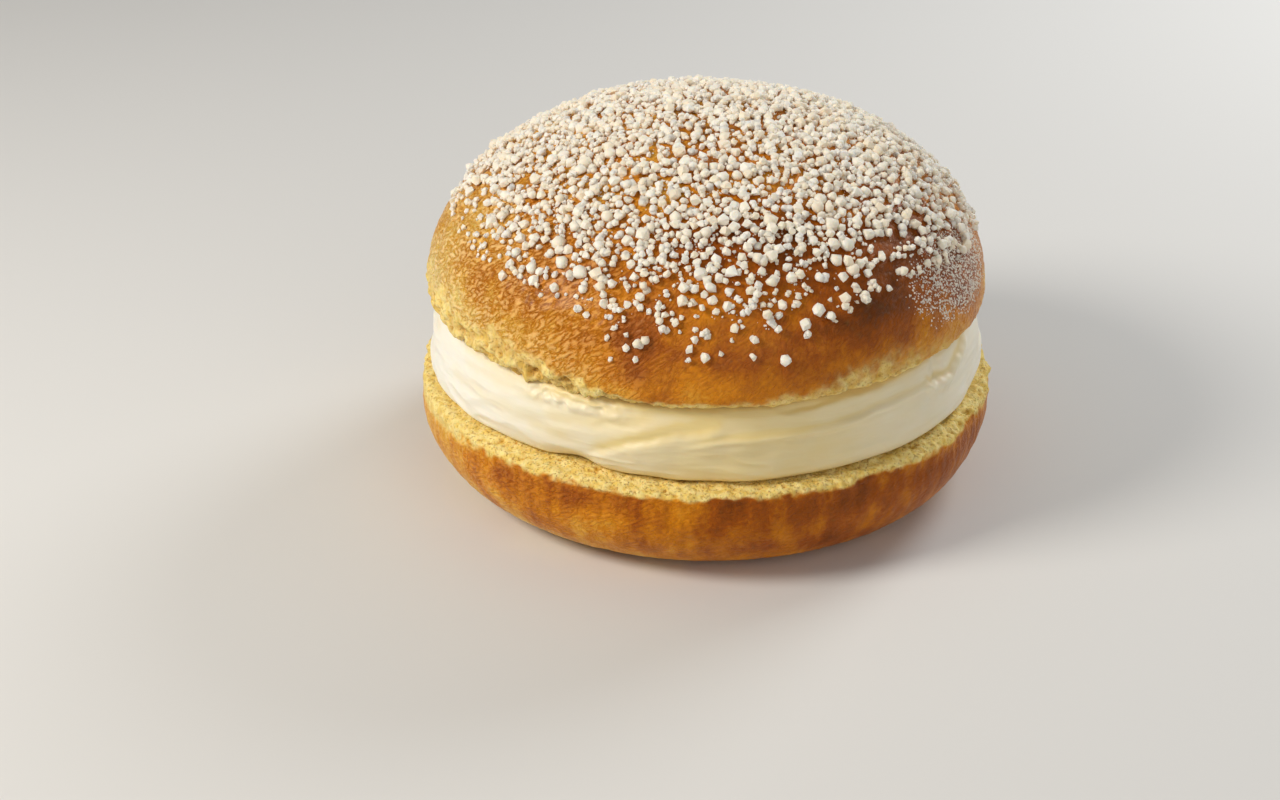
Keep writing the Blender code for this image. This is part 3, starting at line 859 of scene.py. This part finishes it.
def domeOutline():
    spacing, steps = top["spacing"], top["domeSteps"]
    corners, spacings = [(0, crownLevel)], []
    for k in range(1, steps + 1):
        climb = (1 - k / steps) * math.pi / 2
        corners.append((bun["topRadius"] * math.cos(climb), widestLevel + domeHeight * math.sin(climb)))
        nearCrown = k < steps * (1 - top["fineClimb"] / 90)
        spacings.append(spacing["crown"] if nearCrown else spacing["fine"])
    for k in range(1, top["lipSteps"] + 1):
        angle = k / top["lipSteps"] * math.pi / 2
        corners.append((mixed(bun["lipRadius"], bun["topRadius"], math.cos(angle)),
                        mixed(widestLevel, cutLevel, math.sin(angle))))
        spacings.append(spacing["lip"])
    corners += [(top["underRadius"], cutLevel), (0, cutLevel)]
    spacings += [spacing["under"], spacing["hidden"]]
    return evenOutline(corners, spacings)


def domeShaped(points):
    # the bun's unevenness, shared by the crust and by the sugar that lies on it
    radius = np.linalg.norm(points[:, :2], axis=1)
    edge = eased(radius, bun["stillRadius"], bun["lipRadius"])
    moved = pushedOut(points, edge * outOfRound(bearingOf(points)))
    crust = eased(points[:, 2], cutLevel, widestLevel)
    outward = points - (0, 0, widestLevel)
    outward = outward / np.maximum(np.linalg.norm(outward, axis=1, keepdims=True), mm)
    swell = bun["lump"] * cloud(points, bun["lumpLength"], top["lumpSeed"])
    swell += mm * layered(points, top["clouds"]["dome"])
    return moved + outward * (crust * swell)[:, None]


def tornHollows(points):
    # how deep the torn hollows reach in, and how much of each point lies in one
    reach, inside = np.zeros(len(points)), np.zeros(len(points))
    bearing = bearingOf(points)
    rough = layered(points, top["clouds"]["hollowEdge"])
    for at, level, breadth, depth in top["hollows"]:
        across = np.radians(bearing - at) * bun["lipRadius"] / mm
        upward = ((points[:, 2] - cutLevel) / mm - level) * top["hollowFlatness"]
        hole = 1.0 - eased(np.hypot(across, upward) * 2.0 / breadth + rough, *top["hollowWall"])
        reach = np.maximum(reach, hole * depth * mm)
        inside = np.maximum(inside, hole)
    return reach, inside


def tornLip(points, bearing):
    # how far the lower edge is torn away upwards
    flat = points * (1, 1, 0)
    scallops = top["scallops"]
    scalloped = 0.5 - scallops["share"] * lumpy(flat, scallops)
    torn = layered(flat, top["clouds"]["torn"])
    torn += scalloped * eased(layered(flat, top["clouds"]["scallops"]), -0.5, 0.5)
    torn *= top["tear"] * byBearing(top["tearShare"], bearing)
    for at, halfWidth, depth in top["notches"]:
        torn += depth * mm * (1 - eased(np.abs(bearing - at), 0, halfWidth))
    torn += byBearing(lipLift, bearing) * mm
    radius = np.linalg.norm(flat, axis=1)
    return torn * eased(radius, *top["tornRadius"]) * (1.0 - eased(points[:, 2], cutLevel, widestLevel))


def makeTop():
    points, facing, along = turnedPoints(domeOutline(), top["sides"])
    clouds = top["clouds"]
    bearing = bearingOf(points)
    rise = points[:, 2] - cutLevel
    shown = eased(np.linalg.norm(points[:, :2], axis=1), *top["bareRadius"])
    # crumb: a band round the lip with a ragged upper edge
    band = byBearing(top["crumbBand"], bearing) * mm
    fade = byBearing(top["crumbFade"], bearing)
    level = rise / band + layered(points, clouds["crumbEdge"])
    crumb = (1.0 - eased(level, 1.0 - fade / 2, 1.0 + fade / 2)) * byBearing(top["crumbShare"], bearing)
    hole, bump = top["pores"], top["lumps"]
    holes = byBearing(top["poreShare"], bearing) * (1.0 - eased(level, *hole["level"]))
    pores = holesIn(points * hole["upright"], hole)
    pores *= eased(layered(points, clouds["pores"]), *hole["patches"]) * holes
    lumps = lumpy(points * bump["upright"], bump) - 0.5
    torn = crumb * (top["crumbRough"] * layered(points, clouds["crumb"]) - top["crustStep"])
    hollowDepth, hollowed = tornHollows(points)
    lift = shown * (torn - hole["depth"] * pores + holes * bump["height"] * lumps - hollowDepth)
    crumb = np.maximum(crumb, hollowed)
    # painted shade: creases, the lip's lower edge and the hollows take the golden brown of the pores
    crumbShade = top["crumbShade"]
    creased = crumbShade["creases"] * holes * (1.0 - eased(lumps, *crumbShade["creaseWall"]))
    creased += crumbShade["lip"] * (1.0 - eased(rise, 0, crumbShade["lipHeight"]))
    pores = np.maximum(pores, np.maximum(hollowed * crumbShade["hollows"], creased * crumb))
    # crust: wrinkled all over, finely crinkled where it's dry
    grain = grainTrack(points, along, top["slant"])
    crown = top["crown"]
    onCrown = eased((points[:, 2] - widestLevel) / domeHeight, crown["from"], crown["full"])
    flaky = mixed(byBearing(top["flaky"], bearing), crown["flaky"], onCrown)
    crease, crinkle = top["wrinkles"], top["crinkles"]
    wrinkled = crackled(points, crease) * crease["share"] + layered(points, clouds["wrinkles"])
    wrinkled += flaky * crackled(grain * crinkle["stretch"], crinkle) * crinkle["share"]
    lift += (1.0 - crumb) * top["crustRough"] * wrinkled
    lip = tornLip(points, bearing)
    shaped = pushedOut(domeShaped(points) + facing * lift[:, None], lip * top["lipFlare"])
    shaped[:, 2] += lip
    bake = mixed(byBearing(top["bake"], bearing), crown["bake"], onCrown) + layered(points, clouds["bake"])
    bake -= top["goldPaler"] * (1 - eased(rise - band, 0, top["goldEdge"]))
    masks = {"crumb": crumb, "pore": pores * shown, "bake": np.clip(bake, 0, 1),
             "flaky": flaky, "grain": grain}
    mesh = lathedMesh("brioche_top_crust", shaped, top["sides"], (crownLevel, cutLevel), masks)
    finishPiece("brioche_top_crust", mesh, briocheFinish("top brioche", 1.0, 0.08, 0.15),
                ["brioche_top"])


# Pearl sugar

sugar = {
    "seed": 11,
    # lowest climb of the scattered sugar in degrees, by bearing
    "edge": {-180: 20, -90: 27, -60: 25, -40: 24, -26: 21, -12: 19, 5: 20, 20: 20, 36: 24, 60: 22,
             90: 16, 130: 18, 180: 20},
    "fullClimb": 33.0,  # degrees above the edge, where the sugar is at its thickest
    "edgeShare": 0.15,
    "clumps": [(1.0, 4.2, 71), (0.6, 9.24, 72)],
    "clumpEdge": (-0.25, 0.15),
    "clumping": 0.95,
    "evener": 0.6,  # how much less it clumps where it is thick
    "candidates": 60000,
    # pearls that lie alone below the rest at the front: bearing, climb, size in mm
    "lone": [
        (-12, 16, 2.6), (-13, 30, 2.6), (-21, 25, 1.8), (-15, 18, 1.5), (-15, 14, 1.5), (-19, 16, 1.3),
        (-18, 10, 1.3), (-13, 11, 1.1), (-18, 19, 1.1), (-8, 20, 2.0), (-24, 21, 1.3), (-3, 12, 1.3),
        (-2, 18, 1.6), (-3, 15, 1.6), (0, 19, 2.2), (0, 13, 1.8), (3, 14, 1.1), (5, 18, 1.1),
        (9, 18, 2.0), (9, 13, 1.5), (15, 11, 2.0), (20, 17, 1.8), (26, 20, 1.3), (30, 22, 1.3),
        (34, 24, 2.2), (-32, 24, 1.6), (-33, 26, 1.8), (-47, 24, 2.0), (10, 27, 2.4), (26, 32, 2.6),
    ],
    # frost of grit on one side
    "dust": {"bearing": 66, "climb": 19, "around": 24, "upDown": 16, "share": 0.9, "elsewhere": 0.12,
             "candidates": 120000},
    "colour": srgb(255, 247, 233),
    "shade": srgb(250, 226, 192),
    "dusty": 0.5 * mm,
    "grain": 0.22 * mm,
    "relief": 0.10 * mm,
    "glow": {"glow": 0.45, "glowReach": (1.0, 0.80, 0.6), "glowScale": 0.8 * mm},
    "kinds": {
        "pearl_sugar_large": {"count": 330, "size": (2.1, 2.8), "corners": 22, "lumps": (1, 3),
                              "overlap": 0.78, "rounded": True},
        "pearl_sugar_medium": {"count": 1480, "size": (1.6, 2.4), "corners": 15, "lumps": (1, 2),
                               "overlap": 0.68, "rounded": False},
        "pearl_sugar_small": {"count": 1700, "size": (0.7, 1.6), "corners": 11, "lumps": (1, 2),
                              "overlap": 0.62, "rounded": False},
        "sugar_grit": {"count": 8000, "size": (0.18, 0.5), "corners": 7, "lumps": (1, 1), "overlap": 0.0,
                       "rounded": False},
    },
    "shapes": 30,
    "tries": 80,
    "fewLarge": 1.3,  # above 1 there are more stones near a kind's smallest size
    "unevenness": 0.12,
    "cornerReach": (0.90, 1.06),
    "lumpScale": (0.50, 0.76),  # of lumps grown together
    "lumpApart": (0.36, 0.56),
    "squash": (0.88, 1.08),
    "flattened": 0.15,  # towards the crust
    "stand": 0.40,  # height of a stone's centre over the crust, in radii
    "ride": 1.6,  # how much higher it sits where it rests on its neighbours
}


def sugarCover(bearing, climb):
    above = climb - byBearing(sugar["edge"], bearing)
    full = mixed(sugar["edgeShare"], 1.0, eased(above, 0, sugar["fullClimb"]))
    return np.where(above < 0, 0.0, full)


def domePlaces(bearing, climb):
    # points on the crust and the way it faces there
    angle, up = np.radians(bearing), np.radians(climb)
    flat = np.stack([np.sin(angle), -np.cos(angle), angle * 0], -1)
    points = flat * (bun["topRadius"] * np.cos(up))[:, None]
    points[:, 2] = widestLevel + domeHeight * np.sin(up)
    facing = flat * (np.cos(up) / bun["topRadius"])[:, None]
    facing[:, 2] = np.sin(up) / domeHeight
    return domeShaped(points), facing / np.linalg.norm(facing, axis=1, keepdims=True)


def sugarPlaces(draw, dust=None):
    # places spread evenly over the dome, kept where the sugar lies and in loose clumps
    count = (dust or sugar)["candidates"]
    climb = np.degrees(np.arcsin(draw.random(count)))
    bearing = draw.random(count) * 360.0 - 180.0
    points, facing = domePlaces(bearing, climb)
    clumps = eased(layered(points, sugar["clumps"]), *sugar["clumpEdge"])
    cover = sugarCover(bearing, climb)
    likely = cover * mixed(1.0, clumps, sugar["clumping"] * (1.0 - cover * sugar["evener"]))
    if dust:
        across = (bearing - dust["bearing"]) / dust["around"]
        upward = (climb - dust["climb"]) / dust["upDown"]
        frost = dust["share"] * (1 - eased(np.hypot(across, upward), 0.4, 1.0))
        likely = np.maximum(likely * dust["elsewhere"], frost)
    keep = draw.random(count) < likely
    return points[keep], facing[keep]


def spunAround(draw):
    spin, _ = np.linalg.qr(draw.normal(size=(3, 3)))
    return spin * np.sign(np.linalg.det(spin))


def sugarLump(corners, draw):
    # a chunk of sugar: the hull of a few uneven corners
    shape = bmesh.new()
    golden = math.pi * (3 - math.sqrt(5))  # the turn that spreads points evenly over a ball
    for k in range(corners):
        level = 1 - 2 * (k + 0.5) / corners
        flat = math.sqrt(1 - level * level)
        spot = np.array([flat * math.cos(golden * k), flat * math.sin(golden * k), level])
        spot += draw.normal(size=3) * sugar["unevenness"]
        shape.verts.new(spot * draw.uniform(*sugar["cornerReach"]))
    bmesh.ops.convex_hull(shape, input=shape.verts)
    loose = [vertex for vertex in shape.verts if not vertex.link_faces]
    bmesh.ops.delete(shape, geom=loose, context="VERTS")
    bmesh.ops.triangulate(shape, faces=shape.faces[:])
    shape.verts.index_update()
    points = np.array([vertex.co for vertex in shape.verts])
    faces = np.array([[vertex.index for vertex in face.verts] for face in shape.faces])
    shape.free()
    return points, faces


def sugarStone(kind, draw):
    # one or more lumps grown together, their reach about 1 in all
    count = draw.integers(kind["lumps"][0], kind["lumps"][1] + 1)
    points, faces, offset = [], [], 0
    for k in range(count):
        lumpPoints, lumpFaces = sugarLump(kind["corners"], draw)
        scale = 1.0 if count == 1 else draw.uniform(*sugar["lumpScale"])
        away = draw.normal(size=3)
        away *= draw.uniform(*sugar["lumpApart"]) * (count > 1) / np.linalg.norm(away)
        points.append(lumpPoints * scale + away)
        faces.append(lumpFaces + offset)
        offset += len(lumpPoints)
    return np.concatenate(points) * draw.uniform(*sugar["squash"], 3), np.concatenate(faces)


def scattered(name, kind, points, facing, radii, lifts, draw):
    # one joined mesh of many stones, each turned and sized its own way
    shapes = [sugarStone(kind, draw) for _ in range(sugar["shapes"])]
    corners, faces, tints, offset = [], [], [], 0
    for point, normal, radius, lift in zip(points, facing, radii, lifts):
        shapeCorners, shapeFaces = shapes[draw.integers(len(shapes))]
        stone = shapeCorners @ spunAround(draw).T * radius
        stone = stone - np.outer(stone @ normal, normal) * sugar["flattened"]
        corners.append(stone + point + normal * radius * (sugar["stand"] + lift))
        faces.append(shapeFaces + offset)
        tints.append(np.full(len(stone), draw.random()))
        offset += len(stone)
    mesh = bpy.data.meshes.new(name)
    mesh.from_pydata(np.concatenate(corners).tolist(), [], np.concatenate(faces).tolist())
    attribute = mesh.attributes.new("tint", "FLOAT", "POINT")
    attribute.data.foreach_set("value", np.concatenate(tints))
    return mesh


def sugarFinish():
    paint = Finish("pearl sugar")
    tint = paint.mask("tint")
    dusty = paint.noise(sugar["dusty"], 3.0)
    paint.set(colour=paint.blend(tint * 0.6 + (dusty - 0.5) * 0.6, sugar["colour"], sugar["shade"]))
    paint.set(roughness=0.55 + (dusty - 0.5) * 0.3)
    paint.set(normal=paint.bump(paint.noise(sugar["grain"], 4.0, 0.65), sugar["relief"]))
    paint.set(**sugar["glow"])
    return paint.material


def makeSugar():
    draw = np.random.default_rng(sugar["seed"])
    places = sugarPlaces(draw)
    dustPlaces = sugarPlaces(draw, sugar["dust"])
    lone = np.array(sugar["lone"])
    lonePlaces = domePlaces(lone[:, 0], lone[:, 1])
    taken = lonePlaces[0]
    takenRadii = lone[:, 2] * mm / 2
    material = sugarFinish()
    cursor = 0
    for name, kind in sugar["kinds"].items():
        small, large = kind["size"]
        shares = draw.random(kind["count"]) ** sugar["fewLarge"]
        radii = np.sort(mixed(small, large, shares) * mm / 2)[::-1]
        isGrit = kind["overlap"] == 0
        source = dustPlaces if isGrit else places
        fits = (lone[:, 2] > small) & (lone[:, 2] <= large)
        points, facing = [*lonePlaces[0][fits]], [*lonePlaces[1][fits]]
        sizes, lifts = [*lone[fits, 2] * mm / 2], [0.0] * int(fits.sum())
        for radius in radii:
            for _ in range(sugar["tries"]):
                cursor = (cursor + 1) % len(source[0])
                spot = source[0][cursor]
                nearest = np.min(np.linalg.norm(taken - spot, axis=1) / (takenRadii + radius))
                if nearest > kind["overlap"]:
                    points.append(spot)
                    facing.append(source[1][cursor])
                    sizes.append(radius)
                    lifts.append(0.0 if isGrit else max(0.0, 1.0 - nearest) * sugar["ride"])
                    if not isGrit:
                        taken = np.concatenate([taken, spot[None]])
                        takenRadii = np.append(takenRadii, radius)
                    break
        mesh = scattered(name, kind, points, facing, sizes, lifts, draw)
        print(name, len(sizes), "stones of", kind["count"])
        finishPiece(name, mesh, material, ["brioche_top"], smooth=kind["rounded"])


# Floor, light and camera

studio = {
    "floorColour": srgb(222, 220, 216),
    "floorShade": (0.7, 0.69, 0.67),
    "floorReach": 3.0,
    "worldColour": (1.0, 0.99, 0.97, 1.0),
    "world": 0.25,
    "key": {"at": (-0.44, -0.20, 0.40), "size": 0.22, "watts": 2.6, "tint": (1.0, 0.96, 0.90)},
    "rim": {"at": (0.34, 0.36, 0.34), "size": 0.26, "watts": 1.6, "tint": (0.94, 0.97, 1.0)},
    "fill": {"at": (0.22, -0.50, 0.30), "size": 0.50, "watts": 0.6, "tint": (1.0, 0.99, 0.96)},
}

view = {
    "aim": (0.0, 0.0, 33 * mm),  # the point of the bun that the camera stands opposite
    "distance": 400 * mm,
    "climb": 24.496,  # degrees above the floor
    "photoSize": (1280, 800),
    "lensPixels": 2189.65,
    "aimPixel": (712.64, 281.98),  # where the aim shows in the photograph
    "filmWidth": 36.0,
}


def makeFloor():
    mesh = bpy.data.meshes.new("floor")
    plan = bmesh.new()
    bmesh.ops.create_grid(plan, x_segments=4, y_segments=4, size=studio["floorReach"])
    plan.to_mesh(mesh)
    plan.free()
    paint = Finish("pale floor")
    cloudy = paint.noise(80 * mm, 2.0) * 0.15
    paint.set(colour=paint.blend(cloudy, studio["floorColour"], studio["floorShade"]), roughness=0.7)
    mesh.materials.append(paint.material)
    floor = bpy.data.objects.new("floor", mesh)
    bpy.context.scene.collection.objects.link(floor)


def makeLight(name):
    lamp = studio[name]
    data = bpy.data.lights.new(name, "AREA")
    data.shape = "DISK"
    data.size = lamp["size"]
    data.energy = lamp["watts"]
    data.color = lamp["tint"]
    light = bpy.data.objects.new(name, data)
    light.location = lamp["at"]
    aim = Vector(view["aim"]) - light.location
    light.rotation_euler = aim.to_track_quat("-Z", "Y").to_euler()
    bpy.context.scene.collection.objects.link(light)


def makeWorld():
    world = bpy.data.worlds.new("studio")
    world.use_nodes = True
    sky = world.node_tree.nodes["Background"]
    sky.inputs["Color"].default_value = studio["worldColour"]
    sky.inputs["Strength"].default_value = studio["world"]
    bpy.context.scene.world = world
    bpy.context.scene.view_settings.view_transform = "Standard"


def makeCamera():
    width, height = view["photoSize"]
    across = (view["aimPixel"][0] - width / 2) / view["lensPixels"]
    upward = (height / 2 - view["aimPixel"][1]) / view["lensPixels"]
    heading = math.atan(across)
    climb = math.radians(view["climb"])
    tilt = climb + math.atan(upward * math.cos(heading))
    data = bpy.data.cameras.new("camera")
    data.sensor_width = view["filmWidth"]
    data.lens = view["filmWidth"] * view["lensPixels"] / width
    data.clip_start = 0.01
    camera = bpy.data.objects.new("camera", data)
    away = Vector((0.0, -math.cos(climb), math.sin(climb))) * view["distance"]
    camera.location = Vector(view["aim"]) + away
    camera.rotation_euler = (math.pi / 2 - tilt, 0.0, heading)
    bpy.context.scene.collection.objects.link(camera)
    bpy.context.scene.camera = camera


makeCamera()
makeWorld()
for lampName in ("key", "rim", "fill"):
    makeLight(lampName)
makeFloor()
print("studio ready")
makeBase()
makeCream()
makeTop()
makeSugar()
